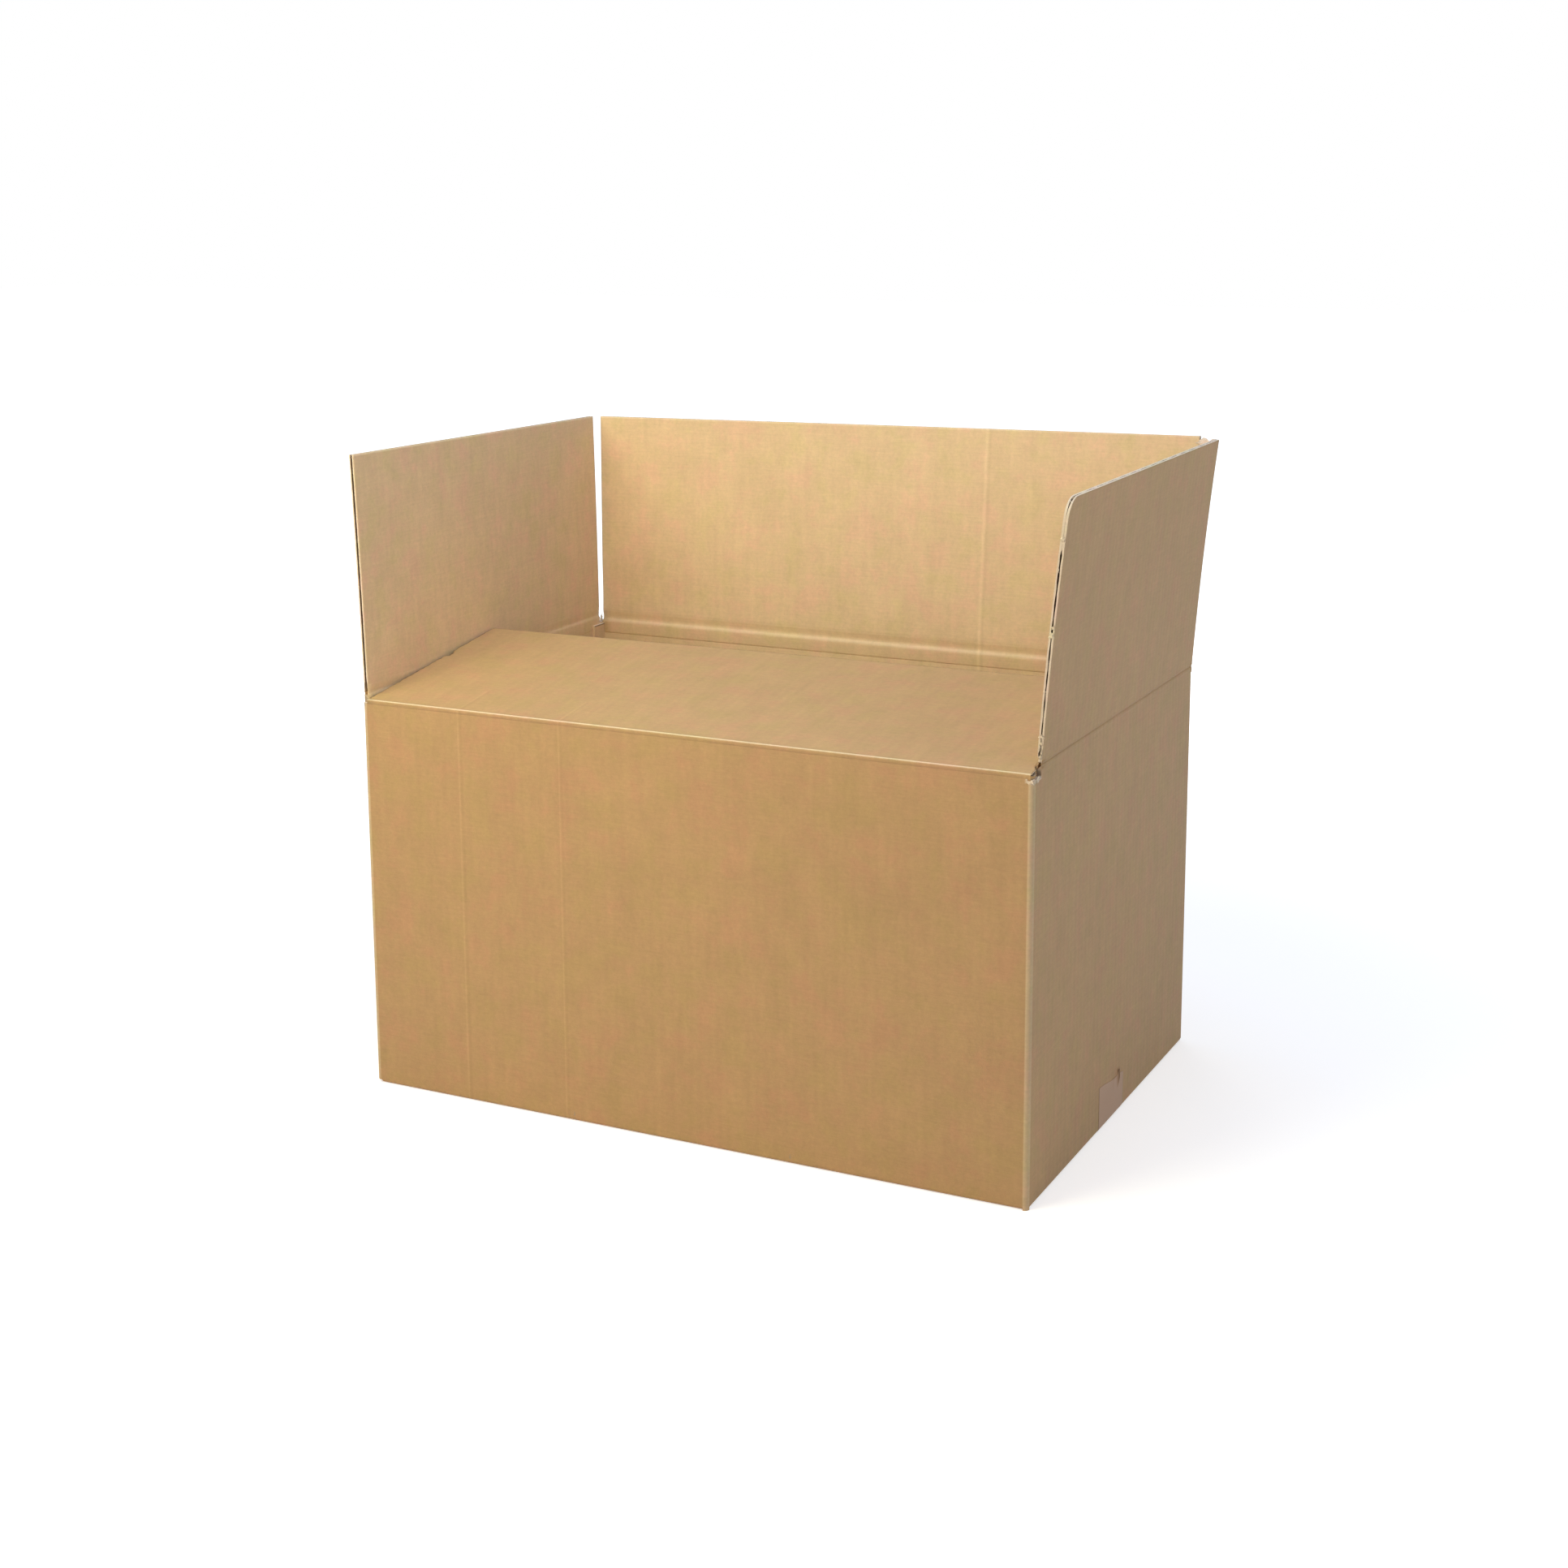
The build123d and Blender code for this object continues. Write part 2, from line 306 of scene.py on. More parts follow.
def kraft(name, side, flutes="x"):
    """Kraft board. side is body or one of the papers; flutes is the axis that crosses them."""
    mat = material(name)
    n = Nodes(mat)
    spot = Spot(n)
    if side == "body":
        base, across = walls_base(n, spot), walls_across(n, spot)
    else:
        base, across = PAPERS[side], spot.x if flutes == "x" else spot.y
    other = n.math("SUBTRACT", n.math("ADD", spot.x, spot.y), across)
    sheet = n.join("ShaderNodeCombineXYZ", (across, other, spot.z))

    # Cloudy shade of the pulp, then streaks and fibres that lie along the sheet
    clouds = n.noise(spot.point, 9.0, 4.0, 0.55)
    mottle = n.noise(spot.point, 55.0, 3.0, 0.6)
    streaks = n.noise(n.stretch(sheet, (150.0, 42.0, 42.0)), 1.0, 2.0, 0.5)
    fibres = n.noise(n.stretch(sheet, (60.0, 900.0, 900.0)), 1.0, 4.0, 0.65)
    grain = n.noise(spot.point, 420.0, 3.0, 0.7)
    specks = n.noise(spot.point, 1500.0, 2.0, 0.7)
    layers = ((clouds, 0.14), (mottle, 0.16), (streaks, 0.15), (fibres, 0.20), (grain, 0.24), (specks, 0.14))
    shade = 1.0
    for layer, amount in layers:
        shade = n.both(shade, n.scaled(layer, amount, 1 - amount / 2))
    grey = n.join("ShaderNodeCombineColor", (shade, shade, shade))
    colour = n.mix(1.0, base, grey, "MULTIPLY")

    # Patches that are a little rosier or greener
    hue = n.noise(spot.point, 48.0, 3.0, 0.6)
    colour = n.tint(n.band(hue, 0.50, 0.68), colour, (1.05, 0.965, 1.04, 1))
    greener = n.math("SUBTRACT", 1.0, n.band(hue, 0.34, 0.50))
    colour = n.tint(greener, colour, (0.965, 1.01, 0.93, 1))
    if side in ("body", "inner", "outer"):
        colour = pressed_lines(n, spot, colour)

    # Washboard: the liner sinks a little between the flutes
    wave = n.math("SINE", n.both(across, 2 * math.pi / PITCH))
    wave = n.both(wave, n.scaled(n.noise(spot.point, 14.0), 0.8, 0.3))
    colour = n.tint(n.both(n.scaled(wave, 0.5, 0.5), 0.06), colour, (0.7, 0.66, 0.62, 1))
    relief = n.both(wave, 0.035 * MM)
    for layer, height in ((fibres, 0.05), (specks, 0.03), (streaks, 0.07), (clouds, 0.9)):
        relief = n.math("ADD", relief, n.both(layer, height * MM))
    n.finish(colour, relief, strength=1.0, roughness=0.62, specular=0.5)
    return mat


def tape_material():
    """Brown packing tape."""
    mat = material("packing_tape")
    n = Nodes(mat)
    place = n.add("ShaderNodeTexCoord").outputs["Object"]
    x, y, z = n.split(place)
    creases = n.noise(n.stretch(place, (40.0, 12.0, 60.0)), 1.0, 3.0, 0.6)
    fine = n.noise(place, 400.0, 2.0, 0.6)
    colour = n.mix(creases, (0.47, 0.268, 0.145, 1), (0.53, 0.310, 0.175, 1))
    # Dust along the two long edges, and the seam felt through the tape
    from_middle = n.math("ABSOLUTE", n.math("ADD", y, -TAPE_MIDDLE))
    edge = n.band(from_middle, TAPE_WIDTH / 2 - 1.2 * MM, TAPE_WIDTH / 2 - 0.1 * MM)
    colour = n.mix(n.both(edge, 0.45), colour, (0.26, 0.18, 0.11, 1))
    seam = n.both(n.near(y, 0.0, 1.2 * MM), n.below(z, 2.0 * MM))
    colour = n.mix(n.both(seam, 0.35), colour, (0.26, 0.17, 0.10, 1))
    # The wrinkle at the right end is creased brown on one flank
    wrinkle = n.both(n.near(y, WRINKLE_Y - 0.5 * MM, 0.7 * MM), n.above(z, 19.5 * MM))
    wrinkle = n.both(wrinkle, n.above(x, 0.2))
    colour = n.mix(n.both(wrinkle, 0.7), colour, (0.23, 0.14, 0.06, 1))
    height = n.math("ADD", n.both(creases, 0.3 * MM), n.both(fine, 0.01 * MM))
    n.finish(colour, height, strength=0.6, roughness=0.50, specular=0.35)
    return mat



MATS = {
    "body": kraft("kraft_walls", "body"),
    "outer_x": kraft("kraft_outer_x", "outer", "x"),
    "outer_y": kraft("kraft_outer_y", "outer", "y"),
    "inner_x": kraft("kraft_inner_x", "inner", "x"),
    "inner_y": kraft("kraft_inner_y", "inner", "y"),
    "cut": kraft("kraft_cut_edge", "cut"),
    # Painted highlight for the front fold
    "fold": kraft("kraft_rubbed_fold", "fold"),
    # Darker medium, also painted shade in the flutes
    "pit": kraft("kraft_medium", "pit"),
    "shred": kraft("kraft_torn_paper", "shred"),
    "tape": tape_material(),
}

body_mesh = frame["nodes"]["box_body"].data
body_mesh.materials.clear()
body_mesh.materials.append(MATS["body"])


# Meshes

def new_object(name, vertices, faces, materials, indices, flat=()):
    """A mesh object. Cut edges and the faces in flat aren't shaded smooth."""
    mesh = bpy.data.meshes.new(name)
    mesh.from_pydata(vertices, [], faces)
    for mat in materials:
        mesh.materials.append(MATS[mat])
    for polygon, index in zip(mesh.polygons, indices):
        polygon.material_index = index
        polygon.use_smooth = polygon.index not in flat and materials[index] != "cut"
    mesh.update()
    obj = bpy.data.objects.new(name, mesh)
    bpy.context.scene.collection.objects.link(obj)
    return obj


def spread(low, high, count):
    return [low + (high - low) * k / (count - 1) for k in range(count)]


def join(parts):
    vertices, faces, marks = [], [], []
    for part_vertices, part_faces, part_marks in parts:
        base = len(vertices)
        vertices += part_vertices
        faces += [[base + i for i in face] for face in part_faces]
        marks += part_marks
    return vertices, faces, marks


def sheet_faces(columns, rows, low_mark, high_mark, edge_mark):
    """Faces of a closed sheet: its low layer of points, its high one, and the edge round both."""
    faces, marks = [], []

    def index(layer, i, j):
        return (layer * columns + i) * rows + j

    for layer, mark in ((0, low_mark), (1, high_mark)):
        for i in range(columns - 1):
            for j in range(rows - 1):
                ring = ((i, j), (i + 1, j), (i + 1, j + 1), (i, j + 1))
                quad = [index(layer, *pair) for pair in ring]
                faces.append(quad if layer else quad[::-1])
                marks.append(mark)
    border = [(i, 0) for i in range(columns)]
    border += [(columns - 1, j) for j in range(1, rows)]
    border += [(i, rows - 1) for i in range(columns - 2, -1, -1)]
    border += [(0, j) for j in range(rows - 2, 0, -1)]
    for k, here in enumerate(border):
        after = border[(k + 1) % len(border)]
        faces.append([index(0, *here), index(0, *after), index(1, *after), index(1, *here)])
        marks.append(edge_mark)
    return faces, marks


def strip_faces(columns, rows, turn_far_end=False):
    """Faces of a closed strip whose columns hold the points of both layers, and its edge faces."""
    faces, edges = [], set()
    step, last = 2 * rows, rows - 1
    for i in range(columns - 1):
        a, b = i * step, (i + 1) * step
        for k in range(last):
            faces.append([a + k, b + k, b + k + 1, a + k + 1])
            faces.append([a + rows + k + 1, b + rows + k + 1, b + rows + k, a + rows + k])
        edges.update((len(faces), len(faces) + 1))
        faces.append([a + rows, b + rows, b, a])
        faces.append([a + last, b + last, b + last + rows, a + last + rows])
    for i in (0, columns - 1):
        for k in range(last):
            a = i * step + k
            cap = [a, a + 1, a + rows + 1, a + rows]
            edges.add(len(faces))
            faces.append(cap[::-1] if i and turn_far_end else cap)
    return faces, edges


# Flaps

def ease(t):
    """0 below 0, 1 above 1, smooth between."""
    t = min(max(t, 0.0), 1.0)
    return t * t * (3 - 2 * t)


class Side:
    """One side of the box: turns crease, outward and up distances into places."""

    def __init__(self, name):
        self.name = name
        self.long = name in ("front", "back")
        self.sign = -1 if name in ("front", "left") else 1
        self.depth = HALF_W if self.long else HALF_L
        self.top = LONG_TOP if self.long else SHORT_TOP

    def place(self, along, out, up):
        """along is the world X or Y; out is from the outer face; up is from the crease."""
        reach = self.sign * (self.depth + out)
        height = self.top + up
        return (along, reach, height) if self.long else (reach, along, height)

    def section(self, place):
        """The (out, up) of a place."""
        reach = place[1] if self.long else place[0]
        return self.sign * reach - self.depth, place[2] - self.top


class Flap:
    """A flap as a bent sheet, from start to end along its crease.

    lengths and leans are the values at those two ends; a lean is in degrees out from upright.
    pressed is what the crease leaves of the board's thickness. foot_lean is the lean of the
    crease itself, where the flap twists away from it.
    """

    def __init__(self, side, start, end, lengths, leans, curl=0.0, pressed=0.72, foot_lean=None):
        self.side = Side(side)
        self.start, self.end = start, end
        self.lengths = lengths
        self.leans = leans
        self.curl = math.radians(curl)
        self.pressed = pressed
        self.foot_lean = foot_lean

    def thickness(self, run):
        return BOARD * (self.pressed + (1 - self.pressed) * ease((run - 1.0 * MM) / (6.5 * MM)))

    def share(self, along):
        return (along - self.start) / (self.end - self.start)

    def between(self, pair, along):
        t = self.share(along)
        return pair[0] * (1 - t) + pair[1] * t

    def length(self, along):
        return self.between(self.lengths, along)

    def point(self, along, run, deep):
        """run is the distance from the hinge line, deep is from the outer face inwards."""
        lean = self.between(self.leans, along)
        if self.foot_lean is not None:
            lean = self.foot_lean + (lean - self.foot_lean) * ease(run / (45 * MM))
        # The sheet curls evenly along its run, about its mean lean
        turned = self.curl * (run / FLAP_LENGTH - 0.5)
        end = math.radians(lean) + turned
        middle = math.radians(lean) + turned / 2 - self.curl / 4
        out = HINGE_OUT + math.sin(middle) * run - math.cos(end) * (deep + HINGE_OUT)
        up = math.cos(middle) * run + math.sin(end) * (deep + HINGE_OUT)
        return self.side.place(along, out, up)

    def spot(self, along, run, deep):
        """The same point as (out, up) in the side's own section."""
        return self.side.section(self.point(along, run, deep))


FOOT = 0.8 * MM
RIM = 1.2 * MM
MEDIUM_INSET = 2.2 * MM
SIDE_SHARE = 0.08


def trimmer(flap, corner, left_edge, right_edge):
    """Cuts the free edge to its slant, rounds the first corner and shapes the side edges."""
    longest = max(flap.lengths)

    def trim(along, run):
        limit = flap.length(along)
        run = FOOT + (run - FOOT) * (limit - FOOT) / (longest - FOOT)
        short = corner - (along - flap.start)
        if short > 0:
            run = min(run, limit - corner + math.sqrt(max(corner**2 - short**2, 0.0)))
        share = flap.share(along)
        if left_edge and share < SIDE_SHARE:
            along += left_edge(run) * (1 - share / SIDE_SHARE)
        if right_edge and 1 - share < SIDE_SHARE:
            along += right_edge(run) * (1 - (1 - share) / SIDE_SHARE)
        return along, run

    return trim


def lip_maker(flap, corner, lips, rubbed):
    """How far the liners close over the flutes: lips at the side edges, rubbed at the free edge."""

    def lip(along, run):
        if run < 7 * MM:
            return 0.0
        near = min(abs(along - flap.start), abs(along - flap.end))
        ragged = 0.8 + 0.15 * math.sin(run / MM * 1.7) + 0.15 * math.sin(run / MM * 0.43 + 2)
        side = lips * ragged * max(1 - near / RIM, 0.0)
        frayed = 0.9 + 0.1 * math.sin(along / MM * 0.9) + 0.1 * math.sin(along / MM * 0.31)
        to_edge = flap.length(along) - run
        top = rubbed * frayed * max(1 - to_edge / (1.4 * MM), 0.0)
        # The rubbing goes on round a rounded corner
        if corner and along - flap.start < corner * 1.02 and to_edge < corner * 2.5:
            side = max(side, rubbed * max(1 - near / corner, 0.0))
        return min(max(side, top), 1.18 * MM)

    return lip


def slab(flap, alongs, runs, low, high, marks, trim):
    """A closed thin sheet of a flap between two depths, which are functions of along and run."""
    vertices = []
    for depth in (low, high):
        for along in alongs:
            for run in runs:
                a, r = trim(along, run)
                vertices.append(flap.point(a, r, depth(a, r)))
    return (vertices, *sheet_faces(len(alongs), len(runs), *marks))


def build_flap(name, corner=0.0, left_edge=None, right_edge=None, lips=0.0, rubbed=0.5 * MM):
    """Outer liner, wavy medium and inner liner of one flap."""
    flap = FLAPS[name]
    letter = "x" if flap.side.long else "y"
    longest = max(flap.lengths)
    flutes = (flap.end - flap.start) / PITCH
    trim = trimmer(flap, corner, left_edge, right_edge)
    lip = lip_maker(flap, corner, lips, rubbed)

    def wave(along, run):
        room = flap.thickness(run) / 2 - LINER - MEDIUM / 2
        return flap.thickness(run) / 2 + room * math.sin(2 * math.pi * along / PITCH)

    alongs = [flap.start] + spread(flap.start + RIM, flap.end - RIM, int(flutes) * 2) + [flap.end]
    if corner:
        turn = [math.radians(degrees) for degrees in range(0, 90, 10)]
        rounded = [flap.start + corner * (1 - math.cos(angle)) for angle in turn]
        alongs = rounded + [along for along in alongs if along - flap.start > corner]
    steps = [3.5 * MM, 5.0 * MM, 6.5 * MM, 8.0 * MM]
    if left_edge:
        # Closer rows where the edge is torn
        upper = spread(0.012, 0.058, 30) + spread(0.0592, 0.1065, 60) + spread(0.1080, longest, 45)
    else:
        upper = spread(0.012, longest, 40)
    upper = sorted(upper + [longest - 1.4 * MM])
    outer_runs = [FOOT, 2.0 * MM] + steps + upper
    inner_runs = [3.6 * MM] + steps[1:] + upper
    wave_alongs = spread(flap.start + MEDIUM_INSET, flap.end - MEDIUM_INSET, int(flutes * 10))
    wave_runs = [3.4 * MM, 6 * MM, 8 * MM, 20 * MM, 60 * MM] + spread(0.09, longest - 0.3 * MM, 8)

    # The medium and the liners' faces towards it get the darker medium colour, also as painted shade between
    # the liners
    outer_mark, inner_mark, cut_mark, medium_and_shade_mark = range(4)
    outer = slab(
        flap, alongs, outer_runs,
        lambda along, run: 0.0,
        lambda along, run: LINER + lip(along, run),
        (outer_mark, medium_and_shade_mark, cut_mark), trim,
    )
    inner = slab(
        flap, alongs, inner_runs,
        lambda along, run: flap.thickness(run) - LINER - lip(along, run),
        lambda along, run: flap.thickness(run),
        (medium_and_shade_mark, inner_mark, cut_mark), trim,
    )
    medium = slab(
        flap, wave_alongs, wave_runs,
        lambda along, run: wave(along, run) - MEDIUM / 2,
        lambda along, run: wave(along, run) + MEDIUM / 2,
        (medium_and_shade_mark, medium_and_shade_mark, cut_mark), trim,
    )
    vertices, faces, indices = join([outer, inner, medium])
    materials = ["outer_" + letter, "inner_" + letter, "cut", "pit"]
    obj = new_object(name + "_board", vertices, faces, materials, indices)
    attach(obj, name)
    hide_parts(name + "_flap")


def torn_edge(run):
    """The torn notch in the front flap's left edge, and the ragged cut beside it."""
    mm = run / MM
    notch_start, notch_end, notch_depth = 91, 104, 3.2
    bite = 0.75
    bite += 0.25 * math.sin(mm * 0.9) + 0.2 * math.sin(mm * 0.37 + 1) + 0.22 * math.sin(mm * 2.1 + 0.5)
    if mm > 60:
        bite += 0.22 * math.sin(mm * 1.37) * math.sin(mm * 0.21)
    if notch_start < mm < notch_end:
        bite += notch_depth * min((mm - notch_start) / 2.2, (notch_end - mm) / 7.0, 1.0)
        bite += 0.3 * math.sin(mm * 2.6)
    return bite * MM


def wide_foot(run):
    """The front flap's right end is wider beside the short slot, next to its crease."""
    t = min(max((run - 8.5 * MM) / (2.0 * MM), 0.0), 1.0)
    return 2.0 * MM * (1 - t)


FLAPS = {
    "front": Flap("front", -HALF_L + 3.6 * MM, HALF_L - 3.7 * MM, (0.1545, 0.1545), (-82.5, -81.6)),
    "back": Flap("back", -HALF_L + 3.6 * MM, HALF_L - 3.6 * MM, (0.1543, 0.1582), (0.8, 6.9), foot_lean=3.5),
    "left": Flap("left", -HALF_W + 2.7 * MM, HALF_W - 7.7 * MM, (0.1569, 0.1520), (1.8, 0.8), 1.15, 0.9),
    "right": Flap("right", -HALF_W + 12.3 * MM, HALF_W - 0.8 * MM, (0.1546, 0.1551), (5.5, 5.3), 3.2),
}
build_flap("front", left_edge=torn_edge, right_edge=wide_foot)
build_flap("back")
build_flap("left", lips=0.5 * MM)
build_flap("right", corner=12 * MM, lips=0.9 * MM, rubbed=1.1 * MM)


# Creases: paper bridges from each wall to its flap, one outside and one inside

CREASE_PAPER = 0.3 * MM
PROUD = 0.06 * MM


def ribbon(name, flap, path, paper, rubbed=None, stretch=0.0, inside=False):
    """A strip of liner along a crease. path(along) gives (out, up) pairs, upwards.

    rubbed is the range of points between which the fold is painted pale as a highlight. An inside strip has
    its thickness towards the board on the other side of the path.
    """
    side = flap.side
    alongs = spread(flap.start + 0.2 * MM, flap.end - 0.2 * MM + stretch, 60)
    rows = len(path(0.0))
    vertices = []
    for along in alongs:
        line = path(along)[::-1] if inside else path(along)
        for layer in (0, 1):
            for k, (out, up) in enumerate(line):
                before, after = line[max(k - 1, 0)], line[min(k + 1, rows - 1)]
                du, dv = after[0] - before[0], after[1] - before[1]
                size = math.hypot(du, dv) or 1.0
                # The lower layer lies in the board, and the strip's two ends taper into it
                at_end = k in (0, rows - 1)
                shift = -CREASE_PAPER if layer else -0.5 * CREASE_PAPER if at_end else 0.0
                vertices.append(side.place(along, out + shift * dv / size, up - shift * du / size))
    faces, edges = strip_faces(len(alongs), rows)
    indices = [0] * len(faces)
    papers = [paper]
    if rubbed:
        # Painted highlight: the rows in this range take the paler fold paper
        papers.append("fold")
        for i in range(len(alongs) - 1):
            for k in range(*rubbed):
                indices[2 * (i * rows + k)] = 1
    obj = new_object(name, vertices, faces, papers, indices, edges)
    start = side.place(0.0, *path(0.0)[0])
    end = side.place(0.0, *path(0.0)[-1])
    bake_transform(obj)


def bezier(a, b, c, count):
    points = []
    for t in spread(0, 1, count):
        points.append(tuple((1 - t) ** 2 * p + 2 * t * (1 - t) * q + t * t * r for p, q, r in zip(a, b, c)))
    return points


def outer_path(flap, proud, valley):
    """Over the outside of a crease, sunk by valley at the hinge line."""
    reach, tail = 1.3 * MM, 3.0 * MM

    def path(along):
        low, top = (proud, -reach), flap.spot(along, reach, -proud)
        middle = (HINGE_OUT * 0.5 - valley, 0.2 * MM)
        line = [(proud * 0.4, -reach - tail)]
        line += bezier(low, middle, top, 9)
        line += [flap.spot(along, reach + tail, -proud * 0.4)]
        return line

    return path


def inner_path(flap, bead, dip):
    """Over the inside of an upright flap's crease: a bead below it and a dip at it."""
    # Height from the crease, then the shares of the paper's proudness and of the bead
    below = (
        (-12.0, 0.5, 0.0),
        (-9.5, 1.0, 0.2),
        (-7.0, 1.0, 0.55),
        (-4.5, 1.0, 0.9),
        (-2.6, 1.0, 1.0),
        (-1.2, 1.0, 0.75),
    )
    # Distance up the flap, then the share of the paper's proudness
    above = ((1.8, 1.0), (3.2, 1.0), (4.6, 1.0), (6.0, 0.7), (7.6, 0.3))

    def path(along):
        line = [(-BOARD - PROUD * lift - bead * share, height * MM) for height, lift, share in below]
        line += [(-BOARD + dip * 0.4, -0.3 * MM), (-BOARD + dip, 0.5 * MM)]
        for run, lift in above:
            line.append(flap.spot(along, run * MM, flap.thickness(run * MM) + PROUD * lift))
        return line

    return path


def inner_fold_path(flap):
    """The inner liner pinched into the fold of a flap that is folded in."""

    def path(along):
        low = (-BOARD - PROUD, -5.0 * MM)
        far = flap.spot(along, 5.0 * MM, flap.thickness(5.0 * MM) + PROUD)
        pinch = (-BOARD - 0.6 * MM, -BOARD - 0.4 * MM)
        line = [(-BOARD - PROUD * 0.5, -7.5 * MM)]
        line += bezier(low, pinch, far, 7)
        line += [flap.spot(along, 7.0 * MM, flap.thickness(7.0 * MM) + PROUD * 0.3)]
        return line

    return path


for label, bead, dip in (("back", 0.4, 0.8), ("left", 0.1, 0.4), ("right", 0.1, 0.6)):
    flap = FLAPS[label]
    paper = "inner_x" if flap.side.long else "inner_y"
    ribbon(label + "_crease_inner", flap, inner_path(flap, bead * MM, dip * MM), paper, inside=True)
ribbon("front_crease_inner", FLAPS["front"], inner_fold_path(FLAPS["front"]), "inner_x", inside=True)
front_fold = outer_path(FLAPS["front"], 0.12 * MM, 0.0)
# The front fold's middle rows are painted pale as a highlight
ribbon("front_crease_outer", FLAPS["front"], front_fold, "outer_x", rubbed=(3, 8), stretch=1.8 * MM)
for label, valley in (("back", 0.6), ("left", 0.6), ("right", 0.8)):
    flap = FLAPS[label]
    paper = "outer_x" if flap.side.long else "outer_y"
    ribbon(label + "_crease_outer", flap, outer_path(flap, 0.10 * MM, valley * MM), paper)


# Tape under the seam, with toothed ends and a wrinkle at the right end

def tape_path(right_top, left_top):
    """Points (x, z, normal x, normal z) over the base, from the left wall to the right."""
    bend, low = 2.5 * MM, 0.15 * MM
    foot = low + bend

    def arc(sign, degrees):
        """A point of the bend under the left wall, -1, or the right one, 1."""
        angle = math.radians(degrees)
        x = sign * (HALF_L - bend + bend * math.cos(angle))
        return (x, foot - bend * math.sin(angle), sign * math.cos(angle), -math.sin(angle))

    line = [(-HALF_L, foot + (left_top - foot) * (1 - t), -1.0, 0.0) for t in spread(0, 1, 14)]
    line += [arc(-1, degrees) for degrees in range(15, 90, 15)]
    line += [(x, low, 0.0, -1.0) for x in spread(-HALF_L + bend, HALF_L - bend, 40)]
    line += [arc(1, degrees) for degrees in range(75, 0, -15)]
    line += [(HALF_L, foot + (right_top - foot) * t, 1.0, 0.0) for t in spread(0, 1, 26)]
    return line


def hump(value, centre, half):
    return math.exp(-(((value - centre) / half) ** 2))


def tape_mesh():
    y0, y1 = TAPE_MIDDLE - TAPE_WIDTH / 2, TAPE_MIDDLE + TAPE_WIDTH / 2
    thickness, glue = 0.14 * MM, 0.01 * MM
    tooth = 1.6 * MM
    ys = sorted(set(spread(y0, y1, 97) + spread(WRINKLE_Y - 2.0 * MM, WRINKLE_Y + 2.0 * MM, 17)))
    vertices = []
    for y in ys:
        t = (y - y0) / (y1 - y0)
        teeth = abs((y / tooth) % 1.0 - 0.5) * 1.0 * MM
        # The wrinkle stands up a little past the torn end
        right_top = 29.2 * MM - 5.2 * MM * t + teeth + 0.5 * MM * math.sin(9 * t)
        right_top += 4.8 * MM * hump(y, WRINKLE_Y + 0.2 * MM, 1.1 * MM)
        left_top = 26.2 * MM + 2.4 * MM * t - teeth
        line = tape_path(right_top, left_top)
        for layer in (0, 1):
            for x, z, nx, nz in line:
                lift = thickness if layer else glue
                if nx > 0.99:
                    fade = min(max((z - 16 * MM) / (8 * MM), 0.0), 1.0)
                    lift += 1.2 * MM * fade * hump(y, WRINKLE_Y + 0.08 * (z - 27 * MM), 0.7 * MM)
                    lift += 0.2 * MM * fade * hump(y, 4 * MM, 3 * MM)
                vertices.append((x + nx * lift, y, max(z + nz * lift, 0.0)))
    faces, edges = strip_faces(len(ys), len(line), turn_far_end=True)
    obj = new_object("seam_tape", vertices, faces, ["tape"], [0] * len(faces), edges)
    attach(obj, "body")
    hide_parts("bottom_tape")


tape_mesh()


# Torn paper left by the slotting knife

def scrap(foot, out, across, length, width, curl, seed):
    """A torn flake: foot is its middle root point, out and across its directions. Sizes in mm."""
    out, across = Vector(out).normalized(), Vector(across).normalized()
    normal = out.cross(across)
    rows, columns = 7, 5
    half_thickness = 0.12
    vertices = []
    for layer in (-1, 1):
        for u in spread(-1, 1, columns):
            for t in spread(0, 1, rows):
                ragged = 1 + 0.35 * math.sin(seed + 9 * t) + 0.2 * math.sin(seed * 2.3 + 17 * t)
                half = width / 2 * ragged * math.sqrt(max(1 - t**3, 0.02))
                tip = length * t * (1 + 0.18 * math.sin(seed * 1.7 + 3 * u))
                bend = curl * t * t + 0.15 * math.sin(seed + 4 * u + 5 * t)
                offset = out * tip + across * half * u + normal * (bend + layer * half_thickness)
                vertices.append(tuple(Vector(foot) + offset * MM))
    return (vertices, *sheet_faces(columns, rows, 0, 0, 0))


def scraps(name, body, items):
    vertices, faces, indices = join([scrap(*item) for item in items])
    obj = new_object(name, vertices, faces, ["shred"], indices)
    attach(obj, body)


def edge_scrap(run, length, width, seed, deep):
    """A flake over the right flap's front cut edge."""
    flap = FLAPS["right"]
    start = flap.start - 0.1 * MM
    foot = Vector(flap.point(start, run * MM, deep * MM))
    up = Vector(flap.point(start, (run + 10) * MM, deep * MM)) - foot
    inward = Vector(flap.point(start, run * MM, (deep + 1) * MM)) - foot
    return (foot, up, inward, length, width, 0.3, seed)


def corner_point(back, run, deep):
    """A place on the right flap, back mm from its back edge."""
    flap = FLAPS["right"]
    return flap.point(flap.end - back * MM, run * MM, deep * MM)


# Distance from the crease, length, width, seed and depth of each flake, in mm
scraps("right_edge_shreds", "right", [
    edge_scrap(1.2, 5.5, 1.5, 1.0, 1.2),
    edge_scrap(3.5, 5.0, 1.2, 2.1, 0.8),
    edge_scrap(8.5, 3.0, 1.0, 3.3, 2.0),
    edge_scrap(11.0, 3.0, 1.0, 4.2, 1.1),
    edge_scrap(15.2, 2.2, 3.2, 5.0, 1.5),
    edge_scrap(42.0, 2.6, 1.2, 6.2, 2.2),
    edge_scrap(74.0, 3.2, 2.8, 7.1, 1.5),
    edge_scrap(79.0, 2.6, 1.4, 8.4, 1.0),
    edge_scrap(112.0, 3.0, 1.3, 9.0, 2.1),
    edge_scrap(130.0, 2.4, 2.6, 9.9, 1.5),
])
